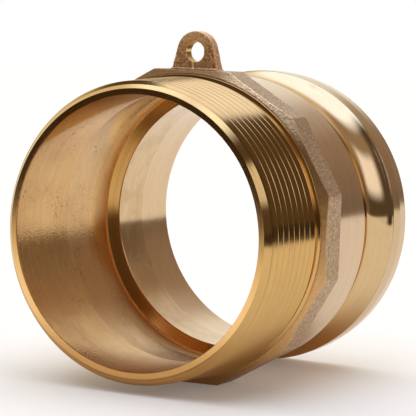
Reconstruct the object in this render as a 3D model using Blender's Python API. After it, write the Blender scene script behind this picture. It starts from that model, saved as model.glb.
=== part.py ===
"""Camlock male adapter, 3 inch: tapered pipe thread at one end, cam groove at the other.

The adapter is one casting, so it is one object. Its axis runs along +Y, from the threaded
end to the cam groove end, and the chain ear stands up along +Z. The collar's lowest flat lies
at z = 0, and the origin is under the middle of the whole piece.
"""

import math

import bmesh
import bpy

# All driving dimensions are in millimetres. Stations are measured along the axis from the
# threaded end face, and radii are measured from the axis.
MM = 0.001
COLUMNS = 60
COLUMN_STEP = 2.0 * math.pi / COLUMNS

# Threaded end: 3 inch tapered pipe thread, 8 turns to the inch, taper 1 in 16 on diameter.
PITCH = 25.4 / 8.0
TAPER = 1.0 / 32.0
CREST_RADIUS = 43.70
THREAD_DEPTH = 2.10
CREST_FLAT = 0.30
FLANK_SLOPE = math.tan(math.radians(30.0))
END_FACE_RADIUS = 41.55
BORE_MOUTH_RADIUS = 39.90
MOUTH_CHAMFER = 0.30
MOUTH_CHAMFER_RISE = 0.15
THREAD_END = 26.80

# Relief groove and turned shoulder between the thread and the collar.
RELIEF_START = 27.50
RELIEF_RADIUS = 42.40
RELIEF_FILLET = 0.50
SHOULDER_FACE = 28.50
SHOULDER_CORNER = 28.80
SHOULDER_RADIUS = 45.20

# Wrench collar: twelve flats, with a flat at the top and one at the bottom. Its front face
# leans back from its foot, as on a nut with chamfered corners.
SIDES = 12
COLLAR_FLAT_RADIUS = 46.41
COLLAR_FOOT_STATION = 29.30
COLLAR_FOOT_RADIUS = 45.55
COLLAR_LEAN = math.tan(math.radians(28.0))
COLLAR_END = 39.50
COLLAR_EDGE = 0.45

# Shank, cam groove and lip.
SHANK_RADIUS = 44.50
SHANK_FILLET = 0.80
GROOVE_START = 61.20
GROOVE_END = 80.00
GROOVE_RADIUS = 13.65
LIP_RADIUS = 45.75
LIP_LEAD_START = 85.20
LIP_LEAD_END = 89.90
LIP_LEAD_RADIUS = 45.25
LIP_ROUND = 1.30
LENGTH = 91.20

# Inside: cored threaded half, turned step, and the bore of the cam groove end.
CORE_BEND = 28.60
CORE_BEND_RADIUS = 40.15
CORE_RADIUS = 42.95
CORE_FILLET = 0.90
CORE_FILLET_END_ANGLE = 35.0
STEP_START = 56.30
STEP_END = 58.80
STEP_RADIUS = 39.40
STEP_ROUND = 0.25
REAR_BEND = 73.50
REAR_BEND_RADIUS = 39.60
REAR_MOUTH_RADIUS = 40.45
REAR_CHAMFER = 0.50

# Chain ear on the collar's top flat.
EAR_START = 32.80
EAR_THICKNESS = 3.50
EAR_HEIGHT = 51.80
EAR_TOP_RADIUS = 6.10
EAR_FOOT_HALF_WIDTH = 7.50
EAR_FLARE = 0.90
EAR_ROOT_DEPTH = 2.00
EAR_EYE_RADIUS = 3.00
EAR_EDGE = 0.45
EAR_ARC_STEPS = 14
EYE_STEPS = 20
EYE_OVERRUN = 2.00

# Thread cutter: the groove's middle is at GROOVE_PHASE_STATION where the angle is
# GROOVE_PHASE_ANGLE. Angles turn clockwise as seen from the threaded end, from the top.
GROOVE_PHASE_STATION = 2.776
GROOVE_PHASE_ANGLE = 88.0
CUTTER_FIRST_STATION = -1.70
CUTTER_LAST_STATION = 27.30
CUTTER_CLEARANCE = 0.06
RUN_OUT_COLUMNS = 8
RUN_OUT_DEPTH = 0.04

# Steps of the small rounds and of the cam groove.
ROUND_STEPS = 2
GROOVE_STEPS = 10
LIP_ROUND_START_ANGLE = 60.0

BRASS_COLOUR = (0.62, 0.40, 0.17, 1.0)
BRASS_ROUGHNESS = 0.30
SHARP_ANGLE = math.radians(28.0)
SAME_STATION = 1e-9


def remove_scene_objects():
    for item in list(bpy.data.objects):
        bpy.data.objects.remove(item, do_unlink=True)


def make_brass():
    brass = bpy.data.materials.new("cast_brass")
    brass.use_nodes = True
    shader = brass.node_tree.nodes["Principled BSDF"]
    shader.inputs["Base Color"].default_value = BRASS_COLOUR
    shader.inputs["Roughness"].default_value = BRASS_ROUGHNESS
    shader.inputs["Metallic"].default_value = 1.0
    return brass


def arc(across, up, size, first, last, steps):
    """Points on a circle round a point of a plane, from one angle to another in degrees."""
    points = []
    for index in range(steps + 1):
        angle = math.radians(first + (last - first) * index / steps)
        points.append((across + size * math.cos(angle), up + size * math.sin(angle)))
    return points


def circle_centre(start, end, size):
    """Centre of the circle through two profile points that bulges towards the axis."""
    run = end[0] - start[0]
    rise = end[1] - start[1]
    half = math.hypot(run, rise) / 2.0
    height = math.sqrt(size * size - half * half)
    middle = ((start[0] + end[0]) / 2.0, (start[1] + end[1]) / 2.0)
    return (middle[0] - rise / (2.0 * half) * height, middle[1] + run / (2.0 * half) * height)


def crest_radius(station):
    return CREST_RADIUS + TAPER * station


def cam_groove():
    """The concave groove that the cam arms press into, edge to edge."""
    start = (GROOVE_START, SHANK_RADIUS)
    end = (GROOVE_END, LIP_RADIUS)
    centre = circle_centre(start, end, GROOVE_RADIUS)
    first = math.degrees(math.atan2(start[1] - centre[1], start[0] - centre[0]))
    last = math.degrees(math.atan2(end[1] - centre[1], end[0] - centre[0]))
    return arc(centre[0], centre[1], GROOVE_RADIUS, first, last, GROOVE_STEPS)


def threaded_profile():
    """End face, chamfer, thread blank, relief groove and turned shoulder."""
    chamfer = (CREST_RADIUS - END_FACE_RADIUS) / (1.0 - TAPER)
    points = [(0.0, END_FACE_RADIUS), (chamfer, crest_radius(chamfer))]
    points.append((THREAD_END, crest_radius(THREAD_END)))
    points.append((RELIEF_START, RELIEF_RADIUS))
    corner = (SHOULDER_FACE - RELIEF_FILLET, RELIEF_RADIUS + RELIEF_FILLET)
    points += arc(corner[0], corner[1], RELIEF_FILLET, -90.0, 0.0, ROUND_STEPS)
    points.append((SHOULDER_CORNER, SHOULDER_RADIUS))
    points.append((COLLAR_FOOT_STATION, COLLAR_FOOT_RADIUS))
    return points


def collar_front():
    """Flat radii at the collar's leaning front edge, which is softened."""
    low = COLLAR_FLAT_RADIUS - COLLAR_EDGE
    start = COLLAR_FOOT_STATION + (low - COLLAR_FOOT_RADIUS) * COLLAR_LEAN
    return [(start, low), (start + COLLAR_EDGE, COLLAR_FLAT_RADIUS)]


def collar_back():
    """Flat radii at the collar's upright back edge, which is softened."""
    low = COLLAR_FLAT_RADIUS - COLLAR_EDGE
    return [(COLLAR_END - COLLAR_EDGE, COLLAR_FLAT_RADIUS), (COLLAR_END, low)]


def cam_profile():
    """Shank, cam groove, lip with its lead-in taper, and the gasket face."""
    foot = (COLLAR_END + SHANK_FILLET, SHANK_RADIUS + SHANK_FILLET)
    points = arc(foot[0], foot[1], SHANK_FILLET, 180.0, 270.0, ROUND_STEPS)
    points += cam_groove()
    points += [(LIP_LEAD_START, LIP_RADIUS), (LIP_LEAD_END, LIP_LEAD_RADIUS)]
    corner = (LENGTH - LIP_ROUND, LIP_LEAD_RADIUS - LIP_ROUND)
    points += arc(corner[0], corner[1], LIP_ROUND, LIP_ROUND_START_ANGLE, 0.0, ROUND_STEPS)
    return points


def inner_profile():
    """The through bore, from the cam groove end back to the threaded end."""
    points = [(LENGTH, REAR_MOUTH_RADIUS + REAR_CHAMFER)]
    points.append((LENGTH - REAR_CHAMFER, REAR_MOUTH_RADIUS))
    points += [(REAR_BEND, REAR_BEND_RADIUS), (STEP_END + STEP_ROUND, STEP_RADIUS)]
    points.append((STEP_END - STEP_ROUND, STEP_RADIUS + STEP_ROUND))
    corner = (STEP_START - CORE_FILLET, CORE_RADIUS - CORE_FILLET)
    points += arc(corner[0], corner[1], CORE_FILLET, CORE_FILLET_END_ANGLE, 90.0, ROUND_STEPS)
    points.append((CORE_BEND, CORE_BEND_RADIUS))
    points.append((MOUTH_CHAMFER, BORE_MOUTH_RADIUS - MOUTH_CHAMFER_RISE))
    points.append((0.0, BORE_MOUTH_RADIUS))
    return points


def polygon_factor(angle):
    """How far a twelve-sided flat's surface lies out at an angle, over its flat radius."""
    sector = 2.0 * math.pi / SIDES
    offset = (angle + sector / 2.0) % sector - sector / 2.0
    return 1.0 / math.cos(offset)


def place(station, radius, angle):
    return (radius * MM * math.sin(angle), station * MM, radius * MM * math.cos(angle))


def column_angle(column):
    return (column + 0.5) * COLUMN_STEP


def round_ring(mesh, station, radius):
    angles = [column_angle(column) for column in range(COLUMNS)]
    return [mesh.verts.new(place(station, radius, angle)) for angle in angles]


def flats_ring(mesh, station, radius, lean):
    """A twelve-sided ring whose corners lie further back where the face leans."""
    vertices = []
    for column in range(COLUMNS):
        angle = column_angle(column)
        reach = radius * polygon_factor(angle)
        shift = (reach - radius) * lean
        vertices.append(mesh.verts.new(place(station + shift, reach, angle)))
    return vertices


def turned_blank():
    """The whole casting before its thread is cut: every profile point turned into a ring."""
    mesh = bmesh.new()
    rings = [round_ring(mesh, station, radius) for station, radius in threaded_profile()]
    rings += [flats_ring(mesh, station, radius, COLLAR_LEAN) for station, radius in collar_front()]
    rings += [flats_ring(mesh, station, radius, 0.0) for station, radius in collar_back()]
    rings += [round_ring(mesh, station, radius) for station, radius in cam_profile()]
    rings += [round_ring(mesh, station, radius) for station, radius in inner_profile()]
    for index, near in enumerate(rings):
        far = rings[(index + 1) % len(rings)]
        for column in range(COLUMNS):
            after = (column + 1) % COLUMNS
            mesh.faces.new((near[column], near[after], far[after], far[column]))
    return mesh


def cutter_section(mesh, angle, station, depth):
    """One cross-section of the thread groove's cutter: a vee with a narrow flat root."""
    crest = crest_radius(station)
    top = crest + CUTTER_CLEARANCE
    root = crest - depth
    mouth = (PITCH - CREST_FLAT) / 2.0
    half_root = mouth - depth * FLANK_SLOPE
    half_top = mouth + CUTTER_CLEARANCE * FLANK_SLOPE
    corners = [(-half_top, top), (-half_root, root), (half_root, root), (half_top, top)]
    return [mesh.verts.new(place(station + shift, radius, angle)) for shift, radius in corners]


def thread_cutter():
    """A vee groove wound round the taper, running out before the turned shoulder."""
    first_turn = (CUTTER_FIRST_STATION - GROOVE_PHASE_STATION) / PITCH
    turns = (CUTTER_LAST_STATION - CUTTER_FIRST_STATION) / PITCH
    phase = math.radians(GROOVE_PHASE_ANGLE) / COLUMN_STEP + first_turn * COLUMNS
    first_column = math.floor(phase)
    last_column = first_column + round(turns * COLUMNS)
    mesh = bmesh.new()
    sections = []
    for column in range(first_column, last_column + 1):
        angle = column_angle(column)
        turned = angle - math.radians(GROOVE_PHASE_ANGLE)
        station = GROOVE_PHASE_STATION + PITCH * turned / (2.0 * math.pi)
        left = min(1.0, (last_column - column) / RUN_OUT_COLUMNS)
        depth = RUN_OUT_DEPTH + (THREAD_DEPTH - RUN_OUT_DEPTH) * left
        sections.append(cutter_section(mesh, angle, station, depth))
    corners = len(sections[0])
    for near, far in zip(sections, sections[1:]):
        for index in range(corners):
            after = (index + 1) % corners
            mesh.faces.new((near[index], near[after], far[after], far[index]))
    mesh.faces.new(sections[0])
    mesh.faces.new(reversed(sections[-1]))
    bmesh.ops.triangulate(mesh, faces=mesh.faces[:])
    return mesh


def ear_outline():
    """Half-round top on sides that widen towards a flared foot, sunk into the collar."""
    foot = (EAR_FOOT_HALF_WIDTH, COLLAR_FLAT_RADIUS + EAR_FLARE)
    drop = EAR_HEIGHT - foot[1]
    reach = math.hypot(foot[0], drop)
    first = math.degrees(math.acos(EAR_TOP_RADIUS / reach) - math.atan2(drop, foot[0]))
    points = arc(0.0, EAR_HEIGHT, EAR_TOP_RADIUS, first, 180.0 - first, EAR_ARC_STEPS)
    root = COLLAR_FLAT_RADIUS - EAR_ROOT_DEPTH
    flare = EAR_FOOT_HALF_WIDTH + EAR_FLARE
    left = [(-foot[0], foot[1]), (-flare, COLLAR_FLAT_RADIUS), (-flare, root)]
    right = [(flare, root), (flare, COLLAR_FLAT_RADIUS), foot]
    return points + left + right


def eye_outline():
    return arc(0.0, EAR_HEIGHT, EAR_EYE_RADIUS, 0.0, 360.0, EYE_STEPS)[:-1]


def plate(outline, start, end):
    """A flat plate of the given outline in the XZ plane, between two stations."""
    mesh = bmesh.new()
    front = [mesh.verts.new((x * MM, start * MM, z * MM)) for x, z in outline]
    face = mesh.faces.new(front)
    extruded = bmesh.ops.extrude_face_region(mesh, geom=[face])
    moved = [item for item in extruded["geom"] if isinstance(item, bmesh.types.BMVert)]
    bmesh.ops.translate(mesh, verts=moved, vec=(0.0, (end - start) * MM, 0.0))
    return mesh


def soften_edges(mesh, width):
    """Bevel the two outline loops of a plate, leaving the edges along its thickness."""
    loops = []
    for edge in mesh.edges:
        near, far = edge.verts
        if abs(near.co.y - far.co.y) < SAME_STATION:
            loops.append(edge)
    bmesh.ops.bevel(mesh, geom=loops, offset=width * MM, segments=1, affect="EDGES")


def add_object(name, mesh):
    bmesh.ops.recalc_face_normals(mesh, faces=mesh.faces[:])
    data = bpy.data.meshes.new(name)
    mesh.to_mesh(data)
    mesh.free()
    item = bpy.data.objects.new(name, data)
    item.location = (0.0, -LENGTH / 2.0 * MM, COLLAR_FLAT_RADIUS * MM)
    bpy.context.scene.collection.objects.link(item)
    return item


def combine(body, tool, operation):
    tool.hide_render = True
    tool.display_type = "WIRE"
    modifier = body.modifiers.new(tool.name, "BOOLEAN")
    modifier.operation = operation
    modifier.solver = "EXACT"
    modifier.object = tool


def build():
    remove_scene_objects()
    body = add_object("adapter_body", turned_blank())
    ear_mesh = plate(ear_outline(), EAR_START, EAR_START + EAR_THICKNESS)
    soften_edges(ear_mesh, EAR_EDGE)
    combine(body, add_object("chain_ear", ear_mesh), "UNION")
    eye_end = EAR_START + EAR_THICKNESS + EYE_OVERRUN
    eye = plate(eye_outline(), EAR_START - EYE_OVERRUN, eye_end)
    combine(body, add_object("ear_eye_cutter", eye), "DIFFERENCE")
    combine(body, add_object("thread_cutter", thread_cutter()), "DIFFERENCE")
    body.data.materials.append(make_brass())
    body.data.shade_smooth()
    body.data.set_sharp_from_angle(angle=SHARP_ANGLE)


build()
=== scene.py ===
"""Camlock male adapter: the looks. Stations run from the threaded end face, in millimetres."""

import math
from collections import namedtuple

import bmesh
import bpy
from mathutils import Matrix, Vector, noise


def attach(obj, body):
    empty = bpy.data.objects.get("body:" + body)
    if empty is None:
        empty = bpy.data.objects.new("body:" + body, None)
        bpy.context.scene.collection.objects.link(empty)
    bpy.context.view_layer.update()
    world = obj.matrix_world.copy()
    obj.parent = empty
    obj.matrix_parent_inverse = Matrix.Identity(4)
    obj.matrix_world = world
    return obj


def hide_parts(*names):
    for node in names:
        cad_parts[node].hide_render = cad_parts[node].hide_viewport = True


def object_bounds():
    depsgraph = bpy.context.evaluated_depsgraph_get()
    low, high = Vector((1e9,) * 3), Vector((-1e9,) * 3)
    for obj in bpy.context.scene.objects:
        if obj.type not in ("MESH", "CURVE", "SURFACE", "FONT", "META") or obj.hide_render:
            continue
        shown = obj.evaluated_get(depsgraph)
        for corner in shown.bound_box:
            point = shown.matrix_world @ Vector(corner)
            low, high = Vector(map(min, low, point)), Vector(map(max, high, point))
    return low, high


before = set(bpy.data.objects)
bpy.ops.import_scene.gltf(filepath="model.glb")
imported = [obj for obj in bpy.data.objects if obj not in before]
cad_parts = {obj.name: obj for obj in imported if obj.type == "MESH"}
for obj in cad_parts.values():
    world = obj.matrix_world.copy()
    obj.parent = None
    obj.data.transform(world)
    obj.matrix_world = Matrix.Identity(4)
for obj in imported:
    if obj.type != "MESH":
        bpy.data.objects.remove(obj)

MM = 0.001
NODE = "adapter_body"
BODY = "root"

CAD_LOW, CAD_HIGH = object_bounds()
FRONT = CAD_LOW.y
LENGTH = (CAD_HIGH.y - CAD_LOW.y) / MM
COLLAR_FLAT_RADIUS = CAD_HIGH.x / MM
AXIS_HEIGHT = CAD_HIGH.x

# Threaded end.
PITCH = 25.4 / 8.0
TAPER = 1.0 / 32.0
CREST_RADIUS = 43.70
THREAD_DEPTH = 2.10
CREST_ROUND = 0.26
FLANK_SLOPE = math.tan(math.radians(30.0))
FLANK_COS = math.cos(math.radians(30.0))
ROOT_ROUND = PITCH / 2.0 / FLANK_SLOPE - CREST_ROUND - THREAD_DEPTH
END_FACE_RADIUS = 41.55
BORE_MOUTH_RADIUS = 39.90
# Stations near the end face, and how far inside the mouth's radius the bore lies there.
MOUTH_ROUNDING = ((0.35, 0.15), (0.12, 0.08), (0.0, 0.0))
THREAD_END = 26.80
RELIEF_START = 27.50
RELIEF_RADIUS = 42.40
RELIEF_FILLET = 0.50
SHOULDER_FOOT = 28.05
SHOULDER_CORNER = 28.80
SHOULDER_RADIUS = 45.20
SHOULDER_ROUND = 0.18
HOLLOW_RADIUS = 44.90
GROOVE_PHASE_STATION = 2.776
GROOVE_PHASE_ANGLE = 88.0
THREAD_COLUMNS = 360
LEAD_IN_END = 4.0
LEAD_IN_STEPS = 200
RUN_OUT = 0.6
RUN_OUT_STEPS = 80
CLEAR = 0.02

# Collar.
SIDES = 12
COLLAR_SEAM = 29.30
COLLAR_FOOT_STATION = 29.38
COLLAR_FOOT_RADIUS = 45.45
COLLAR_LEAN_ANGLE = 28.0
COLLAR_LEAN = math.tan(math.radians(COLLAR_LEAN_ANGLE))
COLLAR_END = 39.50
COLLAR_EDGE = 0.12
CORNER_WEAR = 0.0012

# Shank, groove and lip.
SHANK_RADIUS = 44.50
SHANK_FILLET = 0.80
SHANK_EDGE = 0.15
SHANK_EDGE_DROP = 0.20
GROOVE_START = 61.20
GROOVE_END = 80.00
GROOVE_RADIUS = 13.65
LIP_RADIUS = 45.75
LIP_LEAD_START = 85.20
LIP_LEAD_END = 89.90
LIP_LEAD_RADIUS = 45.25
LIP_ROUND = 1.30
LIP_EDGE = 0.15
TURNED_COLUMNS = 288
COLUMNS_PER_FLAT = 44
CONE_ROWS = 6
FLAT_ROWS = 24

# Bore.
CORE_BEND = 28.60
CORE_BEND_RADIUS = 40.15
CORE_BEND_ROUND = 0.25
CORE_RADIUS = 42.95
CORE_FILLET = 0.45
STEP_START = 56.30
STEP_EDGE = 0.30
STEP_END = 58.80
STEP_CORNER = 0.20
STEP_RADIUS = 39.40
REAR_BEND = 73.50
REAR_BEND_RADIUS = 39.60
REAR_MOUTH_RADIUS = 40.45
REAR_CHAMFER = 0.50

# Chain ear.
EAR_START = 32.80
EAR_THICKNESS = 3.50
EAR_HEIGHT = 51.80
EAR_TOP_RADIUS = 6.10
EAR_FOOT_HALF_WIDTH = 7.50
EAR_FLARE = 0.90
EAR_ROOT_DEPTH = 1.60
EAR_EYE_RADIUS = 3.00
EYE_OVERRUN = 2.0
EYE_LIP = 0.25
FOOT_FILLET = 0.40
FLASH_PLACE = -0.5
FLASH_WIDTH = 0.25
FLASH_HEIGHT = 0.24
EAR_VOXEL = 0.20
EAR_SMOOTHING = 6

# Grain of the cast skins: size of the lumps and how far they stand out.
COLLAR_LUMP = 0.9
COLLAR_RELIEF = -0.05
EAR_LUMP = 0.8
EAR_RELIEF = 0.07

SUPPORT = 0.12
SUPPORT_LIMIT = 1.2
SHARP_ANGLE = math.radians(32.0)
MERGE = 1e-6
INWARD = -0.05


# ---------------------------------------------------------------- profiles

def arc(station, radius, size, first, last, steps):
    points = []
    for index in range(steps + 1):
        angle = math.radians(first + (last - first) * index / steps)
        points.append((station + size * math.cos(angle), radius + size * math.sin(angle)))
    return points


def crest_radius(station):
    return CREST_RADIUS + TAPER * station


def between(start, end, station):
    share = (station - start[0]) / (end[0] - start[0])
    return start[1] + (end[1] - start[1]) * share


def core_wall():
    """The cored wall of the threaded half, as two profile points."""
    return (CORE_BEND, CORE_BEND_RADIUS), (STEP_START - CORE_FILLET, CORE_RADIUS)


def rear_wall(station):
    """Radius of the cam groove end's bore, which has a faint bend in it."""
    bend = (REAR_BEND, REAR_BEND_RADIUS)
    if station < REAR_BEND:
        return between((STEP_END, STEP_RADIUS), bend, station)
    return between(bend, (LENGTH, REAR_MOUTH_RADIUS), station)


def groove_centre():
    run = GROOVE_END - GROOVE_START
    rise = LIP_RADIUS - SHANK_RADIUS
    half = math.hypot(run, rise) / 2.0
    height = math.sqrt(GROOVE_RADIUS ** 2 - half ** 2)
    station = (GROOVE_START + GROOVE_END) / 2.0 - rise / (2.0 * half) * height
    radius = (SHANK_RADIUS + LIP_RADIUS) / 2.0 + run / (2.0 * half) * height
    return station, radius


# ---------------------------------------------------------------- mesh helpers

def place(station, radius, angle):
    return (
        radius * MM * math.sin(angle),
        FRONT + station * MM,
        AXIS_HEIGHT + radius * MM * math.cos(angle),
    )


def ring(mesh, station, radius, angles):
    return [mesh.verts.new(place(station, radius, angle)) for angle in angles]


def bridge(mesh, near, far):
    count = len(near)
    for column in range(count):
        after = (column + 1) % count
        mesh.faces.new((near[column], near[after], far[after], far[column]))


def even_angles(count):
    return [2.0 * math.pi * column / count for column in range(count)]


def turned(profile, columns):
    """A closed profile, outside and then back along the inside, turned round the axis."""
    mesh = bmesh.new()
    angles = even_angles(columns)
    rings = [ring(mesh, station, radius, angles) for station, radius in profile]
    for index, near in enumerate(rings):
        bridge(mesh, near, rings[(index + 1) % len(rings)])
    return mesh


def supported(points, closed=True):
    """The same profile with points close to the ends of its long runs, so that they shade flat."""
    result = []
    ends = points[1:] + points[:1]
    for index, (start, end) in enumerate(zip(points, ends)):
        result.append(start)
        run = math.dist(start, end)
        if run < SUPPORT_LIMIT or (index + 1 == len(points) and not closed):
            continue
        for share in (SUPPORT / run, 1.0 - SUPPORT / run):
            station = start[0] + (end[0] - start[0]) * share
            result.append((station, start[1] + (end[1] - start[1]) * share))
    return result


def bore_slot(face):
    """Material slot of a face: 0 outside, then the core, the step and the rear bore."""
    centre = face.calc_center_median()
    outward = Vector((centre.x, 0.0, centre.z - AXIS_HEIGHT)).normalized()
    if face.normal.dot(outward) > INWARD:
        return 0
    station = (centre.y - FRONT) / MM
    if station < STEP_START - STEP_EDGE:
        return 1
    return 2 if station < STEP_END else 3


def eye_slot(face):
    """Material slot of the ear's faces: 1 for the wall of its eye."""
    centre = face.calc_center_median()
    reach = math.hypot(centre.x, centre.z - AXIS_HEIGHT - EAR_HEIGHT * MM) / MM
    return 1 if reach < EAR_EYE_RADIUS + EYE_LIP and abs(face.normal.y) < 0.5 else 0


def add_piece(name, mesh, materials, slot_of):
    bmesh.ops.remove_doubles(mesh, verts=mesh.verts[:], dist=MERGE)
    bmesh.ops.dissolve_degenerate(mesh, edges=mesh.edges[:], dist=MERGE)
    bmesh.ops.recalc_face_normals(mesh, faces=mesh.faces[:])
    for face in mesh.faces:
        face.material_index = slot_of(face)
    data = bpy.data.meshes.new(name)
    mesh.to_mesh(data)
    mesh.free()
    data.shade_smooth()
    data.set_sharp_from_angle(angle=SHARP_ANGLE)
    for material in materials:
        data.materials.append(material)
    piece = bpy.data.objects.new(name, data)
    bpy.context.scene.collection.objects.link(piece)
    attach(piece, BODY)
    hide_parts(NODE)
    return piece


# ---------------------------------------------------------------- threaded end

def thread_offsets():
    """Places of one pitch's rows from the middle of a crest: round crest, flank, round root."""
    half = PITCH / 2.0
    crest = CREST_ROUND * FLANK_COS
    root = ROOT_ROUND * FLANK_COS
    rise = [crest * share for share in (0.0, 0.4, 0.72, 0.92, 1.0)]
    rise += [crest + (half - root - crest) * share for share in (0.3, 0.7)]
    rise += [half - root * share for share in (1.0, 0.75, 0.4, 0.0)]
    fall = [PITCH - offset for offset in reversed(rise[1:-1])]
    return rise + fall


def thread_depth(station, angle):
    """How far the thread groove lies under its crest line at one place."""
    turned_by = angle - math.radians(GROOVE_PHASE_ANGLE)
    crest = GROOVE_PHASE_STATION - PITCH / 2.0 + PITCH * turned_by / (2.0 * math.pi)
    offset = abs((station - crest + PITCH / 2.0) % PITCH - PITCH / 2.0)
    to_root = PITCH / 2.0 - offset
    if offset < CREST_ROUND * FLANK_COS:
        return CREST_ROUND - math.sqrt(CREST_ROUND ** 2 - offset ** 2)
    if to_root < ROOT_ROUND * FLANK_COS:
        return THREAD_DEPTH - ROOT_ROUND + math.sqrt(ROOT_ROUND ** 2 - to_root ** 2)
    return CREST_ROUND * 0.5 + (offset - CREST_ROUND * FLANK_COS) / FLANK_SLOPE


def thread_blank(station):
    """The turned surface that the thread is cut into: chamfer, taper and relief flank."""
    chamfer = END_FACE_RADIUS + station
    flank_run = RELIEF_START - THREAD_END
    flank_drop = crest_radius(THREAD_END) - RELIEF_RADIUS
    relief = crest_radius(THREAD_END) - (station - THREAD_END) / flank_run * flank_drop
    return min(chamfer, relief)


def thread_radius(station, angle):
    cut = crest_radius(station) - thread_depth(station, angle)
    return min(cut, thread_blank(station))


def crossings(angle, start, end, steps):
    """Stations where the thread's surface passes through the turned blank's."""
    found = []
    before = None
    for index in range(steps + 1):
        station = start + (end - start) * index / steps
        gap = crest_radius(station) - thread_depth(station, angle) - thread_blank(station)
        if before is not None and gap * before[1] < 0.0:
            share = before[1] / (before[1] - gap)
            found.append(before[0] + (station - before[0]) * share)
        before = (station, gap)
    return found


def thread_rows(angle, rows, offsets):
    """Stations of one column's rows, with the nearest row moved on to each crossing."""
    count = len(offsets)
    turned_by = angle - math.radians(GROOVE_PHASE_ANGLE)
    first = GROOVE_PHASE_STATION + PITCH * turned_by / (2.0 * math.pi)
    crest = first - PITCH / 2.0 - PITCH * 2.0
    stations = [crest + PITCH * (row // count) + offsets[row % count] for row in range(rows)]
    stations = [min(max(station, 0.0), RELIEF_START) for station in stations]
    marks = crossings(angle, CLEAR, LEAD_IN_END, LEAD_IN_STEPS)
    marks += crossings(angle, THREAD_END - RUN_OUT, RELIEF_START - CLEAR, RUN_OUT_STEPS)
    for mark in marks:
        nearest = min(range(rows), key=lambda row: abs(stations[row] - mark))
        stations[nearest] = mark
    return stations


def threaded_surface(mesh, angles):
    """The helical grid of the thread. Its seam joins each row to the row one pitch further on."""
    offsets = thread_offsets()
    per_pitch = len(offsets)
    rows = int(RELIEF_START / PITCH + 4.0) * per_pitch
    columns = []
    for angle in angles:
        column = []
        for station in thread_rows(angle, rows, offsets):
            column.append(mesh.verts.new(place(station, thread_radius(station, angle), angle)))
        columns.append(column)
    for index, near in enumerate(columns):
        last = index + 1 == len(columns)
        far = columns[0] if last else columns[index + 1]
        shift = per_pitch if last else 0
        for row in range(rows - 1):
            a = min(row + shift, rows - 1)
            b = min(row + 1 + shift, rows - 1)
            corners = [near[row], far[a], far[b], near[row + 1]]
            if a == b:
                corners = corners[:2] + corners[3:]
            mesh.faces.new(corners)


def shoulder_profile():
    """Relief groove, a turned shoulder that leans a little, and the hollow line behind it."""
    points = [(RELIEF_START, RELIEF_RADIUS)]
    centre = (SHOULDER_FOOT - RELIEF_FILLET, RELIEF_RADIUS + RELIEF_FILLET)
    points += arc(centre[0], centre[1], RELIEF_FILLET, -90.0, -15.0, 4)
    points += arc(SHOULDER_CORNER, SHOULDER_RADIUS - SHOULDER_ROUND, SHOULDER_ROUND, 165.0, 60.0, 5)
    points.append((COLLAR_SEAM, HOLLOW_RADIUS))
    return points


def mouth_profile():
    """From the collar's seam back along the bore to the end face."""
    near, far = core_wall()
    points = [(COLLAR_SEAM, between(near, far, COLLAR_SEAM)), near]
    points.append((CORE_BEND - CORE_BEND_ROUND, CORE_BEND_RADIUS - 0.02))
    points += [(station, BORE_MOUTH_RADIUS - inside) for station, inside in MOUTH_ROUNDING]
    points.append((0.0, END_FACE_RADIUS))
    return points


def spigot_mesh():
    mesh = bmesh.new()
    angles = even_angles(THREAD_COLUMNS)
    threaded_surface(mesh, angles)
    back = supported(shoulder_profile() + mouth_profile(), closed=False)
    rings = [ring(mesh, station, radius, angles) for station, radius in back]
    for close, beyond in zip(rings, rings[1:]):
        bridge(mesh, close, beyond)
    return mesh


# ---------------------------------------------------------------- collar and ear

def flat_factor(angle):
    """How far out the twelve-sided outline lies, over its flat radius, with worn corners."""
    sector = 2.0 * math.pi / SIDES
    offset = (angle + sector / 2.0) % sector - sector / 2.0
    corner = 1.0 / math.cos(sector / 2.0) - CORNER_WEAR
    return min(1.0 / math.cos(offset), corner)


def grain(point, size, height):
    """How far a cast skin stands out at a point, from three sizes of lumps."""
    spot = Vector(point) / (size * MM)
    lumps = noise.noise(spot) + 0.55 * noise.noise(spot * 2.1) + 0.25 * noise.noise(spot * 0.31)
    return lumps * height * MM


def leaning_ring(mesh, station, radius, lean, angles):
    """A twelve-sided ring whose corners lie further back by its lean."""
    vertices = []
    for angle in angles:
        reach = radius * flat_factor(angle)
        vertices.append(mesh.verts.new(place(station + (reach - radius) * lean, reach, angle)))
    return vertices


def cone_ring(mesh, share, rim, angles):
    """A ring on the collar's leaning front, at a share of the way from its foot to its rim."""
    vertices = []
    for angle in angles:
        reach = COLLAR_FOOT_RADIUS + (rim * flat_factor(angle) - COLLAR_FOOT_RADIUS) * share
        station = COLLAR_FOOT_STATION + (reach - COLLAR_FOOT_RADIUS) * COLLAR_LEAN
        vertices.append(mesh.verts.new(place(station, reach, angle)))
    return vertices


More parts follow.
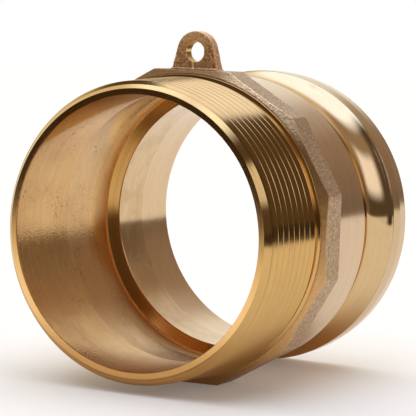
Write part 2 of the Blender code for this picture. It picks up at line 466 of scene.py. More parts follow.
def collar_cast_rings(mesh, angles):
    """The collar's cast faces: leaning front, rounded edge, flats and rounded back edge."""
    front_angle = 180.0 - COLLAR_LEAN_ANGLE
    rim = COLLAR_FLAT_RADIUS - COLLAR_EDGE * (1.0 - math.sin(math.radians(front_angle)))
    start = COLLAR_FOOT_STATION + (rim - COLLAR_FOOT_RADIUS) * COLLAR_LEAN
    start -= COLLAR_EDGE * math.cos(math.radians(front_angle))
    rings = [cone_ring(mesh, index / CONE_ROWS, rim, angles) for index in range(CONE_ROWS)]
    low = COLLAR_FLAT_RADIUS - COLLAR_EDGE
    for station, radius in arc(start, low, COLLAR_EDGE, front_angle, 90.0, 4):
        rings.append(leaning_ring(mesh, station, radius, COLLAR_LEAN, angles))
    end = COLLAR_END - COLLAR_EDGE
    for index in range(1, FLAT_ROWS):
        share = index / FLAT_ROWS
        station = start + (end - start) * share
        lean = COLLAR_LEAN * (1.0 - share)
        rings.append(leaning_ring(mesh, station, COLLAR_FLAT_RADIUS, lean, angles))
    for station, radius in arc(end, low, COLLAR_EDGE, 90.0, 0.0, 4):
        rings.append(leaning_ring(mesh, station, radius, 0.0, angles))
    return rings


def collar_mesh():
    mesh = bmesh.new()
    angles = even_angles(SIDES * COLUMNS_PER_FLAT)
    cast = collar_cast_rings(mesh, angles)
    near, far = core_wall()
    rings = [ring(mesh, COLLAR_SEAM, HOLLOW_RADIUS, angles)]
    rings += cast
    rings.append(ring(mesh, COLLAR_END, SHANK_RADIUS + SHANK_FILLET, angles))
    for station in (COLLAR_END, COLLAR_SEAM):
        rings.append(ring(mesh, station, between(near, far, station), angles))
    for index, close in enumerate(rings):
        bridge(mesh, close, rings[(index + 1) % len(rings)])
    mesh.normal_update()
    for vertices in cast[1:-1]:
        for vertex in vertices:
            vertex.co += vertex.normal * grain(vertex.co, COLLAR_LUMP, COLLAR_RELIEF)
    return mesh


def ear_outline():
    foot = (EAR_FOOT_HALF_WIDTH, COLLAR_FLAT_RADIUS + EAR_FLARE)
    drop = EAR_HEIGHT - foot[1]
    reach = math.hypot(foot[0], drop)
    first = math.degrees(math.acos(EAR_TOP_RADIUS / reach) - math.atan2(drop, foot[0]))
    points = arc(0.0, EAR_HEIGHT, EAR_TOP_RADIUS, first, 180.0 - first, 40)
    root = COLLAR_FLAT_RADIUS - EAR_ROOT_DEPTH
    flare = EAR_FOOT_HALF_WIDTH + EAR_FLARE
    left = arc(-flare, foot[1], EAR_FLARE, 0.0, -90.0, 5)
    right = arc(flare, foot[1], EAR_FLARE, -90.0, -180.0, 5)
    return points + left + [(-flare, root), (flare, root)] + right


def plate(outline, start, end):
    mesh = bmesh.new()
    front = [mesh.verts.new((x * MM, FRONT + start * MM, AXIS_HEIGHT + z * MM)) for x, z in outline]
    face = mesh.faces.new(front)
    extruded = bmesh.ops.extrude_face_region(mesh, geom=[face])
    moved = [item for item in extruded["geom"] if isinstance(item, bmesh.types.BMVert)]
    bmesh.ops.translate(mesh, verts=moved, vec=(0.0, (end - start) * MM, 0.0))
    bmesh.ops.recalc_face_normals(mesh, faces=mesh.faces[:])
    return mesh


def helper(name, mesh):
    data = bpy.data.meshes.new(name)
    mesh.to_mesh(data)
    mesh.free()
    item = bpy.data.objects.new(name, data)
    bpy.context.scene.collection.objects.link(item)
    return item


def evaluated_copy(item):
    graph = bpy.context.evaluated_depsgraph_get()
    mesh = bmesh.new()
    mesh.from_mesh(item.evaluated_get(graph).to_mesh())
    return mesh


def join_plate(blank, name, mesh, operation):
    tool = helper(name, mesh)
    change = blank.modifiers.new(name, "BOOLEAN")
    change.operation = operation
    change.object = tool
    return tool


def ear_mesh():
    """Outline with its eye cut through, remeshed fine, softened and given a cast skin."""
    end = EAR_START + EAR_THICKNESS
    blank = helper("ear_blank", plate(ear_outline(), EAR_START, end))
    half = EAR_FOOT_HALF_WIDTH + FOOT_FILLET
    low = COLLAR_FLAT_RADIUS - EAR_ROOT_DEPTH
    high = COLLAR_FLAT_RADIUS + FOOT_FILLET
    corners = [(-half, high), (-half, low), (half, low), (half, high)]
    foot = plate(corners, EAR_START - FOOT_FILLET, end + FOOT_FILLET)
    tools = [join_plate(blank, "foot", foot, "UNION")]
    circle = arc(0.0, EAR_HEIGHT, EAR_EYE_RADIUS, 0.0, 360.0, 48)[:-1]
    eye = plate(circle, EAR_START - EYE_OVERRUN, end + EYE_OVERRUN)
    tools.append(join_plate(blank, "eye", eye, "DIFFERENCE"))
    remesh = blank.modifiers.new("fine", "REMESH")
    remesh.mode = "VOXEL"
    remesh.voxel_size = EAR_VOXEL * MM
    soften = blank.modifiers.new("soften", "SMOOTH")
    soften.factor = 0.5
    soften.iterations = EAR_SMOOTHING
    mesh = evaluated_copy(blank)
    for item in [blank] + tools:
        bpy.data.objects.remove(item, do_unlink=True)
    mesh.normal_update()
    for vertex in mesh.verts:
        roughen_ear(vertex)
    return mesh


def roughen_ear(vertex):
    """Snap the drilled eye true, raise the flash line under it and grain the rest."""
    across = vertex.co.x / MM
    up = (vertex.co.z - AXIS_HEIGHT) / MM - EAR_HEIGHT
    station = (vertex.co.y - FRONT) / MM
    reach = math.hypot(across, up)
    inside = EAR_START + EYE_LIP < station < EAR_START + EAR_THICKNESS - EYE_LIP
    if inside and reach < EAR_EYE_RADIUS + EYE_LIP:
        scale = EAR_EYE_RADIUS / reach
        vertex.co.x *= scale
        vertex.co.z = AXIS_HEIGHT + (EAR_HEIGHT + up * scale) * MM
        return
    lift = grain(vertex.co, EAR_LUMP, EAR_RELIEF)
    if up < -EAR_EYE_RADIUS and vertex.normal.y < -0.5:
        lift += FLASH_HEIGHT * MM * math.exp(-((across - FLASH_PLACE) / FLASH_WIDTH) ** 2)
    vertex.co += vertex.normal * lift


# ---------------------------------------------------------------- cam groove end

def shank_mesh():
    near, far = core_wall()
    fillet = SHANK_RADIUS + SHANK_FILLET
    profile = arc(COLLAR_END + SHANK_FILLET, fillet, SHANK_FILLET, 180.0, 270.0, 6)
    profile.append((GROOVE_START - 2.0 * SHANK_EDGE, SHANK_RADIUS))
    corner = (GROOVE_START - SHANK_EDGE, SHANK_RADIUS - SHANK_EDGE)
    profile += arc(corner[0], corner[1], SHANK_EDGE, 90.0, 20.0, 3)
    profile.append((GROOVE_START, SHANK_RADIUS - SHANK_EDGE_DROP))
    profile.append((GROOVE_START, rear_wall(GROOVE_START)))
    profile.append((STEP_END + STEP_CORNER, rear_wall(STEP_END + STEP_CORNER)))
    profile += [(STEP_END, STEP_RADIUS + 0.06), (STEP_END - 0.15, STEP_RADIUS + 0.22)]
    foot = (STEP_START - CORE_FILLET, CORE_RADIUS - CORE_FILLET)
    profile += arc(foot[0], foot[1], CORE_FILLET, 35.0, 90.0, 8)
    profile.append((COLLAR_END, between(near, far, COLLAR_END)))
    return turned(supported(profile), TURNED_COLUMNS)


def groove_mesh():
    station, radius = groove_centre()
    start = SHANK_RADIUS - SHANK_EDGE_DROP
    end = LIP_RADIUS - LIP_EDGE
    first = math.degrees(math.atan2(start - radius, GROOVE_START - station))
    last = math.degrees(math.atan2(end - radius, GROOVE_END - station))
    profile = arc(station, radius, GROOVE_RADIUS, first, last, 40)
    profile[0] = (GROOVE_START, start)
    profile[-1] = (GROOVE_END, end)
    profile += [(GROOVE_END, rear_wall(GROOVE_END)), (REAR_BEND, REAR_BEND_RADIUS)]
    profile.append((GROOVE_START, rear_wall(GROOVE_START)))
    return turned(supported(profile), TURNED_COLUMNS)


def lip_mesh():
    profile = arc(GROOVE_END + LIP_EDGE, LIP_RADIUS - LIP_EDGE, LIP_EDGE, 170.0, 90.0, 5)
    profile[0] = (GROOVE_END, LIP_RADIUS - LIP_EDGE)
    profile += [(LIP_LEAD_START, LIP_RADIUS), (LIP_LEAD_END, LIP_LEAD_RADIUS)]
    profile += arc(LENGTH - LIP_ROUND, LIP_LEAD_RADIUS - LIP_ROUND, LIP_ROUND, 75.0, 0.0, 6)
    profile += [(LENGTH, REAR_MOUTH_RADIUS + REAR_CHAMFER), (LENGTH - REAR_CHAMFER, REAR_MOUTH_RADIUS)]
    profile += [(GROOVE_END, rear_wall(GROOVE_END))]
    return turned(supported(profile), TURNED_COLUMNS)


# ---------------------------------------------------------------- material nodes

class Nodes:
    """Short calls for building a node tree, each giving the socket that it made."""

    def __init__(self, tree):
        self.tree = tree

    def put(self, socket, value):
        if isinstance(value, bpy.types.NodeSocket):
            self.tree.links.new(value, socket)
        else:
            socket.default_value = value

    def math(self, operation, first, second=0.0):
        node = self.tree.nodes.new("ShaderNodeMath")
        node.operation = operation
        self.put(node.inputs[0], first)
        self.put(node.inputs[1], second)
        return node.outputs[0]

    def plus(self, first, second):
        return self.math("ADD", first, second)

    def minus(self, first, second):
        return self.math("SUBTRACT", first, second)

    def times(self, first, second):
        return self.math("MULTIPLY", first, second)

    def over(self, first, second):
        return self.math("DIVIDE", first, second)

    def mixed(self, first, second, share):
        """Two noises added up, the first with its share and the second with the rest."""
        return self.plus(self.times(first, share), self.times(second, 1.0 - share))

    def step(self, value, start, end, low=0.0, high=1.0):
        """Smoothly from low at start to high at end."""
        node = self.tree.nodes.new("ShaderNodeMapRange")
        node.interpolation_type = "SMOOTHSTEP"
        for index, item in enumerate((value, start, end, low, high)):
            self.put(node.inputs[index], item)
        return node.outputs[0]

    def window(self, value, low, high, soft):
        """1 between low and high, fading to 0 over soft on either side of each."""
        rise = self.step(value, low - soft, low + soft)
        fall = self.step(value, high - soft, high + soft, 1.0, 0.0)
        return self.times(rise, fall)

    def split(self, vector):
        node = self.tree.nodes.new("ShaderNodeSeparateXYZ")
        self.put(node.inputs[0], vector)
        return node.outputs[0], node.outputs[1], node.outputs[2]

    def join(self, x, y, z):
        node = self.tree.nodes.new("ShaderNodeCombineXYZ")
        for socket, value in zip(node.inputs, (x, y, z)):
            self.put(socket, value)
        return node.outputs[0]

    def noise(self, vector, scale, detail, roughness):
        node = self.tree.nodes.new("ShaderNodeTexNoise")
        self.put(node.inputs["Vector"], vector)
        node.inputs["Scale"].default_value = scale
        node.inputs["Detail"].default_value = detail
        node.inputs["Roughness"].default_value = roughness
        return node.outputs[0]

    def cells(self, vector, scale):
        node = self.tree.nodes.new("ShaderNodeTexVoronoi")
        self.put(node.inputs["Vector"], vector)
        node.inputs["Scale"].default_value = scale
        return node.outputs["Distance"]

    def blend(self, factor, first, second):
        node = self.tree.nodes.new("ShaderNodeMix")
        node.data_type = "RGBA"
        self.put(node.inputs[0], factor)
        self.put(node.inputs[6], first)
        self.put(node.inputs[7], second)
        return node.outputs[2]

    def bump(self, height, distance, normal=None):
        node = self.tree.nodes.new("ShaderNodeBump")
        node.inputs["Strength"].default_value = 1.0
        node.inputs["Distance"].default_value = distance
        self.put(node.inputs["Height"], height)
        if normal is not None:
            self.put(node.inputs["Normal"], normal)
        return node.outputs[0]


def new_material(name):
    material = bpy.data.materials.new(name)
    material.use_nodes = True
    shader = material.node_tree.nodes["Principled BSDF"]
    shader.inputs["Metallic"].default_value = 1.0
    return material, shader, Nodes(material.node_tree)


def colour(red, green, blue):
    return (red, green, blue, 1.0)


# ---------------------------------------------------------------- turned brass

# A turned face: its two tints, its roughness, and how strong its rings and blotches are.
Finish = namedtuple("Finish", "bright dull roughness rings blotches")
CORE_FINISH = Finish((0.63, 0.39, 0.165), (0.54, 0.31, 0.125), 0.19, 1.0, 1.0)
THREAD_FINISH = Finish((0.64, 0.40, 0.15), (0.58, 0.35, 0.125), 0.10, 0.8, 0.5)
STEP_FINISH = Finish((0.64, 0.37, 0.12), (0.56, 0.30, 0.085), 0.18, 1.8, 0.5)
REAR_FINISH = Finish((0.67, 0.48, 0.28), (0.60, 0.40, 0.21), 0.11, 1.0, 1.0)
SATIN_FINISH = Finish((0.64, 0.46, 0.29), (0.58, 0.40, 0.24), 0.12, 1.0, 0.8)
POLISHED_FINISH = Finish((0.65, 0.46, 0.25), (0.59, 0.40, 0.21), 0.07, 0.5, 0.4)
LIP_FINISH = Finish((0.60, 0.43, 0.24), (0.54, 0.37, 0.20), 0.10, 0.9, 0.8)

# Tints that the brass takes at a glancing angle.
SATIN_EDGE = colour(1.0, 0.98, 0.95)
POLISHED_EDGE = colour(0.80, 0.64, 0.45)
LIP_EDGE_TINT = colour(0.98, 0.95, 0.90)
CORE_EDGE = colour(0.98, 0.95, 0.91)
# Painted shade at a glancing angle, on the darker wedge and beside the step.
SHADED_EDGE = colour(0.72, 0.50, 0.30)
CORNER_SHADE_EDGE = colour(0.90, 0.72, 0.48)

RING_DRIFT = 0.35
STREAK_COUNT = 9.0
STREAK_STRETCH = 0.6
CLOUD_SCALE = 0.06
RING_DEPTH = 0.02
RING_SHADE = 0.82
# Painted shade low down on the outside: its colour, and the heights over which it fades in.
UNDERSIDE_SHADE = colour(0.42, 0.20, 0.06)
UNDERSIDE_SHADE_HEIGHTS = (-21.0, -38.0)

# A place on a turned face in millimetres: along the axis, out from it, and right of and above it.
Spots = namedtuple("Spots", "station radius sideways height")


def round_the_axis(nodes):
    coordinates = nodes.tree.nodes.new("ShaderNodeTexCoord")
    x, y, z = nodes.split(coordinates.outputs["Object"])
    sideways = nodes.over(x, MM)
    height = nodes.over(nodes.minus(z, AXIS_HEIGHT), MM)
    station = nodes.over(nodes.minus(y, FRONT), MM)
    squares = nodes.plus(nodes.times(sideways, sideways), nodes.times(height, height))
    return Spots(station, nodes.math("SQRT", squares), sideways, height)


def in_space(nodes, spots):
    """The same place as one vector, for noise that doesn't follow the axis."""
    return nodes.join(spots.sideways, spots.station, spots.height)


def lathe_marks(nodes, spots):
    """Noise drawn out into rings round the axis: coarse, fine, and slow streaks along it."""
    along = nodes.plus(spots.station, spots.radius)
    unit_x = nodes.over(spots.sideways, spots.radius)
    unit_z = nodes.over(spots.height, spots.radius)
    ringed = nodes.join(nodes.times(unit_x, RING_DRIFT), along, nodes.times(unit_z, RING_DRIFT))
    streak_x = nodes.times(unit_x, STREAK_COUNT)
    streak_z = nodes.times(unit_z, STREAK_COUNT)
    drawn = nodes.join(streak_x, nodes.times(along, STREAK_STRETCH), streak_z)
    coarse = nodes.noise(ringed, 1.7, 3.0, 0.7)
    fine = nodes.noise(ringed, 7.0, 2.0, 0.6)
    streak = nodes.noise(drawn, 1.0, 3.0, 0.65)
    return coarse, fine, streak


def painted_underside_shade(nodes, tint, height, share):
    """Painted shade: browner metal low down on the outside, standing in for the shade beneath the
    object.
    """
    return nodes.blend(nodes.step(height, *UNDERSIDE_SHADE_HEIGHTS, 0.0, share), tint, UNDERSIDE_SHADE)


def turned_surface(nodes, shader, spots, finish):
    """Sets the bump and the roughness of a turned face and gives its colour."""
    coarse, fine, streak = lathe_marks(nodes, spots)
    cloud = nodes.noise(in_space(nodes, spots), CLOUD_SCALE, 4.0, 0.6)
    aged = nodes.step(nodes.mixed(cloud, streak, 0.6), 0.5 - finish.blotches * 0.12, 0.72, 0.0, 0.85)
    tint = nodes.blend(aged, colour(*finish.bright), colour(*finish.dull))
    shade = colour(*[channel * RING_SHADE for channel in finish.dull])
    tint = nodes.blend(nodes.step(coarse, 0.35, 0.75, 0.0, 0.35 * finish.rings), tint, shade)
    marks = nodes.mixed(coarse, fine, 0.45)
    nodes.put(shader.inputs["Normal"], nodes.bump(marks, RING_DEPTH * MM * finish.rings))
    worn = nodes.mixed(cloud, fine, 0.5)
    roughness = nodes.step(worn, 0.3, 0.7, finish.roughness * 0.75, finish.roughness * 1.35)
    nodes.put(shader.inputs["Roughness"], roughness)
    return tint


def turned_brass(name, finish, shade_share, edge_tint):
    """Brass from the lathe: fine rings round the axis, slow blotches and faint streaks, and painted
    shade low down.
    """
    material, shader, nodes = new_material(name)
    shader.inputs["Specular Tint"].default_value = edge_tint
    spots = round_the_axis(nodes)
    tint = turned_surface(nodes, shader, spots, finish)
    nodes.put(shader.inputs["Base Color"], painted_underside_shade(nodes, tint, spots.height, shade_share))
    return material


# ---------------------------------------------------------------- cored wall

CORE_RIGHT_SIDE_TINT = colour(0.88, 0.60, 0.30)
CORE_SHADED = colour(0.44, 0.23, 0.08)
# Painted light above the axis and painted shade below it, beside the step.
CORNER_PAINTED_LIGHT = colour(1.0, 0.64, 0.27)
CORNER_PAINTED_SHADE = colour(0.52, 0.20, 0.04)
CORNER_SHARE = 0.9
CORNER_STATION = 43.0
CORNER_TOP_STATION = 26.0
CORNER_RUN = 12.0
CORNER_DULLING = 0.35
SHADED_SLOPE = 0.54
SPECK = colour(0.30, 0.14, 0.045)
PIT = colour(0.14, 0.07, 0.03)
SKIN_DEPTH = 0.05


def painted_corner_mask(nodes, spots):
    """1 beside the step, where painted light goes above the axis and painted shade below it, from
    further out near the top.
    """
    start = nodes.step(spots.height, 18.0, 34.0, CORNER_STATION, CORNER_TOP_STATION)
    start = nodes.plus(start, nodes.step(spots.height, 2.0, -8.0, 0.0, -4.0))
    start = nodes.plus(start, nodes.step(spots.height, -10.0, -26.0, 0.0, 9.0))
    return nodes.times(nodes.step(spots.station, start, nodes.plus(start, CORNER_RUN)), CORNER_SHARE)


def core_shading(nodes, spots):
    """Painted reflection of the shadowed floor: a darker wedge at the upper left, bounded by a line that
    climbs towards the step.
    """
    slope = nodes.minus(spots.height, nodes.times(spots.station, SHADED_SLOPE))
    return nodes.times(nodes.step(slope, 22.4, 24.4, 0.0, 0.7), nodes.step(spots.sideways, 0.0, -14.0))


def sand_marks(nodes, spots, tint):
    """Clusters of fine dark specks and of sand pits."""
    place_mm = in_space(nodes, spots)
    rare = nodes.noise(place_mm, 0.10, 2.0, 0.5)
    speck = nodes.step(nodes.noise(place_mm, 2.2, 2.0, 0.7), 0.54, 0.66)
    speckled = nodes.times(speck, nodes.step(rare, 0.43, 0.58, 0.0, 0.8))
    pit = nodes.math("LESS_THAN", nodes.cells(place_mm, 0.55), nodes.step(rare, 0.50, 0.68, 0.0, 0.26))
    return nodes.blend(nodes.times(pit, 0.7), nodes.blend(speckled, tint, SPECK), PIT)


def core_brass(name):
    """The cored wall: a slightly lumpy skin with sand marks, lighter towards its right side, with
    painted light and shade beside the step and a painted shade wedge at the upper left.
    """
    material, shader, nodes = new_material(name)
    spots = round_the_axis(nodes)
    tint = turned_surface(nodes, shader, spots, CORE_FINISH)
    # Lighter towards the right side of the bore.
    tint = nodes.blend(nodes.step(spots.sideways, 0.0, 30.0), tint, CORE_RIGHT_SIDE_TINT)
    corner = painted_corner_mask(nodes, spots)
    # Painted light above the axis, painted shade below it.
    corner_light_and_shade = nodes.blend(nodes.step(spots.height, 2.0, -6.0), CORNER_PAINTED_LIGHT, CORNER_PAINTED_SHADE)
    tint = nodes.blend(corner, tint, corner_light_and_shade)
    shaded = core_shading(nodes, spots)
    # Painted shade over the wedge at the upper left.
    tint = nodes.blend(shaded, tint, CORE_SHADED)
    edge = nodes.blend(corner, nodes.blend(shaded, CORE_EDGE, SHADED_EDGE), CORNER_SHADE_EDGE)
    nodes.put(shader.inputs["Specular Tint"], edge)
    nodes.put(shader.inputs["Base Color"], sand_marks(nodes, spots, tint))
    turned_roughness = shader.inputs["Roughness"].links[0].from_socket
    dulled = nodes.times(nodes.step(spots.station, 45.0, 54.0), CORNER_DULLING)
    nodes.put(shader.inputs["Roughness"], nodes.plus(turned_roughness, dulled))
    marks = shader.inputs["Normal"].links[0].from_socket
    skin = nodes.noise(in_space(nodes, spots), 1.3, 3.0, 0.6)
    nodes.put(shader.inputs["Normal"], nodes.bump(skin, SKIN_DEPTH * MM, marks))
    return material


# ---------------------------------------------------------------- thread, step and rear bore

THREAD_ROOT_SHADE = colour(0.25, 0.12, 0.035)
TOP_CREST_SHADE = colour(0.32, 0.17, 0.055)
END_FACE_SHADED_TOP = colour(0.58, 0.34, 0.12)
END_FACE_LIT_BOTTOM = colour(0.90, 0.56, 0.22)
THREAD_UNDERSIDE_SHADE = 0.75
STEP_LOWER_SHADE = colour(0.44, 0.17, 0.03)
STEP_RIM_HIGHLIGHT = colour(1.0, 0.56, 0.17)
STEP_RIM_RADII = (42.30, 42.55)
STEP_RIM_ROUGHNESS = 0.7
REAR_STAIN = colour(0.54, 0.36, 0.18)
REAR_BEND_SOFTNESS = 0.4


def thread_brass(name):
    """Bright thread with painted shade in its roots and by its top crests, on an end face painted darker
    above and lighter orange below.
    """
    material, shader, nodes = new_material(name)
    spots = round_the_axis(nodes)
    tint = turned_surface(nodes, shader, spots, THREAD_FINISH)
    crest = nodes.plus(nodes.times(spots.station, TAPER), CREST_RADIUS)
    depth = nodes.minus(crest, spots.radius)
    under_chamfer = nodes.minus(nodes.plus(spots.station, END_FACE_RADIUS), spots.radius)
    cut = nodes.step(under_chamfer, 0.02, 0.30)
    # Painted shade in the roots of the thread.
    root = nodes.times(cut, nodes.step(depth, 0.7, 1.9, 0.0, 0.75))
    tint = nodes.blend(root, tint, THREAD_ROOT_SHADE)
    # Painted shade: dark bands by the crests near the top of the thread.
    crest_shade_lines = nodes.times(nodes.step(depth, 0.36, 0.14), nodes.step(spots.height, 27.0, 36.0, 0.0, 0.45))
    tint = nodes.blend(nodes.times(cut, crest_shade_lines), tint, TOP_CREST_SHADE)
    # Painted shade on the upper part of the end face and painted light on its lower part.
    gold = nodes.blend(nodes.step(spots.height, 4.0, -20.0), END_FACE_SHADED_TOP, END_FACE_LIT_BOTTOM)
    tint = nodes.blend(nodes.step(spots.station, 0.02, 0.08, 1.0, 0.0), tint, gold)
    nodes.put(shader.inputs["Base Color"], painted_underside_shade(nodes, tint, spots.height, THREAD_UNDERSIDE_SHADE))
    return material


def step_brass(name):
    """The turned step between the bores, gold above and painted darker brown lower down as shade, with a
    painted highlight round its outer rim.
    """
    material, shader, nodes = new_material(name)
    spots = round_the_axis(nodes)
    tint = turned_surface(nodes, shader, spots, STEP_FINISH)
    # Painted shade: darker brown lower down on the step.
    lower_shade = nodes.step(spots.height, 4.0, -3.0, 0.0, 0.55)
    lower_shade = nodes.plus(lower_shade, nodes.step(spots.height, -18.0, -30.0, 0.0, 0.30))
    tint = nodes.blend(lower_shade, tint, STEP_LOWER_SHADE)
    # Painted highlight: a bright orange band at the step's outer rim.
    rim = nodes.step(spots.radius, *STEP_RIM_RADII)
    nodes.put(shader.inputs["Base Color"], nodes.blend(rim, tint, STEP_RIM_HIGHLIGHT))
    roughness = nodes.step(rim, 0.0, 1.0, STEP_FINISH.roughness, STEP_RIM_ROUGHNESS)
    nodes.put(shader.inputs["Roughness"], roughness)
    return material


def rear_brass(name):
    """The bore of the cam groove end, duller and blotched as far as its bend."""
    material, shader, nodes = new_material(name)
    spots = round_the_axis(nodes)
    tint = turned_surface(nodes, shader, spots, REAR_FINISH)
    patches = nodes.noise(in_space(nodes, spots), 0.13, 4.0, 0.7)
    bend = (REAR_BEND - REAR_BEND_SOFTNESS, REAR_BEND + REAR_BEND_SOFTNESS)
    inner = nodes.step(spots.station, *bend, 1.0, 0.0)
    stain = nodes.times(inner, nodes.step(patches, 0.40, 0.60, 0.15, 0.9))
    nodes.put(shader.inputs["Base Color"], nodes.blend(stain, tint, REAR_STAIN))
    return material


# ---------------------------------------------------------------- cast skin

# A cast face: its hollow and high tints, their spread, its roughness, the share of its worn edges, flash
# line and painted top light, and its relief in millimetres.
Casting = namedtuple("Casting", "dark bright spread roughness wear relief")
COLLAR_CASTING = Casting((0.30, 0.18, 0.095), (0.66, 0.47, 0.28), 0.10, 0.42, 0.0, 0.16)
EAR_CASTING = Casting((0.36, 0.145, 0.05), (0.94, 0.60, 0.28), 0.07, 0.42, 1.0, 0.30)

FRONT_SHADED_TOP = colour(0.36, 0.18, 0.055)
FRONT_LIT_BOTTOM = colour(0.72, 0.42, 0.17)
FRONT_UPPER_RIGHT_TINT = colour(1.0, 0.68, 0.33)
FRONT_OUTER_RADII = (48.2, 48.6)
FRONT_SHARE = 0.85
CASTING_UNDERSIDE_SHADE = colour(0.20, 0.07, 0.022)
WORN_EDGE = colour(1.0, 0.78, 0.48)
EAR_TOP_LIGHT = colour(0.96, 0.62, 0.30)
FLASH_TINT = colour(1.0, 0.78, 0.42)
FLASH_FOOT = 0.6


def collar_front(nodes, spots):
    """1 on the collar's leaning front face."""
    cone = nodes.times(nodes.minus(spots.radius, COLLAR_FOOT_RADIUS), COLLAR_LEAN)
    behind = nodes.minus(nodes.minus(spots.station, COLLAR_FOOT_STATION), cone)
    inside = nodes.step(spots.radius, *FRONT_OUTER_RADII, 1.0, 0.0)
    return nodes.times(nodes.step(behind, 0.20, 0.40, 1.0, 0.0), inside)


def front_tint(nodes, spots, lumps):
    """Painted shade at the top of the leaning front and painted light low down, lighter at its upper
    right.
    """
    # Painted shade at the top, painted light low down.
    leaning = nodes.blend(nodes.step(spots.height, 34.0, -24.0), FRONT_SHADED_TOP, FRONT_LIT_BOTTOM)
    # Lighter towards the upper right of the leaning front.
    upper_right = nodes.times(nodes.step(spots.sideways, 8.0, 18.0), nodes.step(spots.height, 24.0, 33.0))
    upper_right = nodes.times(upper_right, nodes.step(lumps, 0.42, 0.52, 0.5, 1.0))
    return nodes.blend(upper_right, leaning, FRONT_UPPER_RIGHT_TINT)


def flash_line(nodes, spots, wear):
    """1 along the thin raised line on the ear's front, from its foot to its eye."""
    across = nodes.math("ABSOLUTE", nodes.minus(spots.sideways, FLASH_PLACE))
    low = COLLAR_FLAT_RADIUS + FLASH_FOOT
    under_eye = nodes.window(spots.height, low, EAR_HEIGHT - EAR_EYE_RADIUS, 0.2)
    flash = nodes.times(nodes.step(across, 0.22, 0.42, 1.0, 0.0), under_eye)
    return nodes.times(nodes.step(spots.station, EAR_START + 0.4, EAR_START + 0.8, wear, 0.0), flash)


def cast_skin(name, casting):
    """Sand-cast brass: dark in the hollows of the grain, worn edges, smoother on its front, with painted
    light and shade on its front, painted shade low down and painted light on the ear's top.
    """
    material, shader, nodes = new_material(name)
    spots = round_the_axis(nodes)
    dark = colour(*casting.dark)
    bright = colour(*casting.bright)
    middle = colour(*[(low + high) / 2.0 for low, high in zip(casting.dark, casting.bright)])
    place_mm = in_space(nodes, spots)
    lumps = nodes.mixed(nodes.noise(place_mm, 1.5, 3.0, 0.65), nodes.noise(place_mm, 4.5, 2.0, 0.6), 0.6)
    cloud = nodes.noise(place_mm, 0.12, 3.0, 0.6)
    pointiness = nodes.tree.nodes.new("ShaderNodeNewGeometry").outputs["Pointiness"]
    edge = nodes.step(pointiness, 0.51, 0.58)
    tint = nodes.blend(nodes.step(lumps, 0.50 - casting.spread, 0.50 + casting.spread), dark, bright)
    tint = nodes.blend(nodes.step(cloud, 0.4, 0.7, 0.0, 0.5), tint, middle)
    tint = nodes.blend(nodes.step(pointiness, 0.50, 0.45, 0.0, 0.5), tint, dark)
    front = collar_front(nodes, spots)
    tint = nodes.blend(nodes.times(front, FRONT_SHARE), tint, front_tint(nodes, spots, lumps))
    # Painted shade: very dark brown low down, a little less on the leaning front.
    low = nodes.times(nodes.step(spots.height, -32.0, -45.0), nodes.minus(0.85, nodes.times(front, 0.2)))
    tint = nodes.blend(low, tint, CASTING_UNDERSIDE_SHADE)
    tint = nodes.blend(nodes.times(edge, casting.wear), tint, WORN_EDGE)
    # Painted light: lighter at the top of the ear.
    top_light = nodes.step(spots.height, EAR_HEIGHT, EAR_HEIGHT + EAR_TOP_RADIUS, 0.0, casting.wear * 0.6)
    tint = nodes.blend(top_light, tint, EAR_TOP_LIGHT)
    tint = nodes.blend(flash_line(nodes, spots, casting.wear), tint, FLASH_TINT)
    nodes.put(shader.inputs["Base Color"], tint)
    smooth = nodes.plus(lumps, nodes.plus(nodes.times(edge, 0.3), nodes.times(front, 0.2)))
    roughness = nodes.step(smooth, 0.3, 0.9, casting.roughness * 1.2, casting.roughness * 0.6)
    nodes.put(shader.inputs["Roughness"], roughness)
    nodes.put(shader.inputs["Normal"], nodes.bump(lumps, casting.relief * MM))
    return material


# ---------------------------------------------------------------- studio

CAMERA_YAW = math.radians(-28.077)
CAMERA_PITCH = math.radians(5.29)
CAMERA_ROLL = math.radians(1.987)
CAMERA_DISTANCE = 626.04
CAMERA_RIGHT = -21.147
CAMERA_UP = -7.486
CAMERA_LENS = 190.33
SENSOR = 36.0


def add_camera():
    """The camera looks back along the axis from the right of the threaded end."""
    forward = Vector((
        math.sin(CAMERA_YAW) * math.cos(CAMERA_PITCH),
        math.cos(CAMERA_YAW) * math.cos(CAMERA_PITCH),
        -math.sin(CAMERA_PITCH),
    ))
    level = Vector((math.cos(CAMERA_YAW), -math.sin(CAMERA_YAW), 0.0))
    upright = level.cross(forward)
    right = level * math.cos(CAMERA_ROLL) + upright * math.sin(CAMERA_ROLL)
    up = upright * math.cos(CAMERA_ROLL) - level * math.sin(CAMERA_ROLL)
    target = Vector((0.0, FRONT, AXIS_HEIGHT))
    spot = target - (forward * CAMERA_DISTANCE + right * CAMERA_RIGHT + up * CAMERA_UP) * MM
    data = bpy.data.cameras.new("camera")
    data.lens = CAMERA_LENS
    data.sensor_width = SENSOR
    data.clip_start = 0.01
    camera = bpy.data.objects.new("camera", data)
    bpy.context.scene.collection.objects.link(camera)
    axes = Matrix((right, up, -forward)).transposed().to_4x4()
    camera.matrix_world = Matrix.Translation(spot) @ axes
    bpy.context.scene.camera = camera


# Outline of the light table, in metres. Its near corner is cut off on the camera's side.
FLOOR_OUTLINE = ((-2.5, -0.46), (0.075, -0.46), (2.5, 1.24), (2.5, 2.5), (-2.5, 2.5))
FLOOR_COLOUR = (0.94, 0.83, 0.64, 1.0)
FLOOR_GLOW_COLOUR = (1.0, 0.94, 0.84, 1.0)
FLOOR_GLOW = 0.14


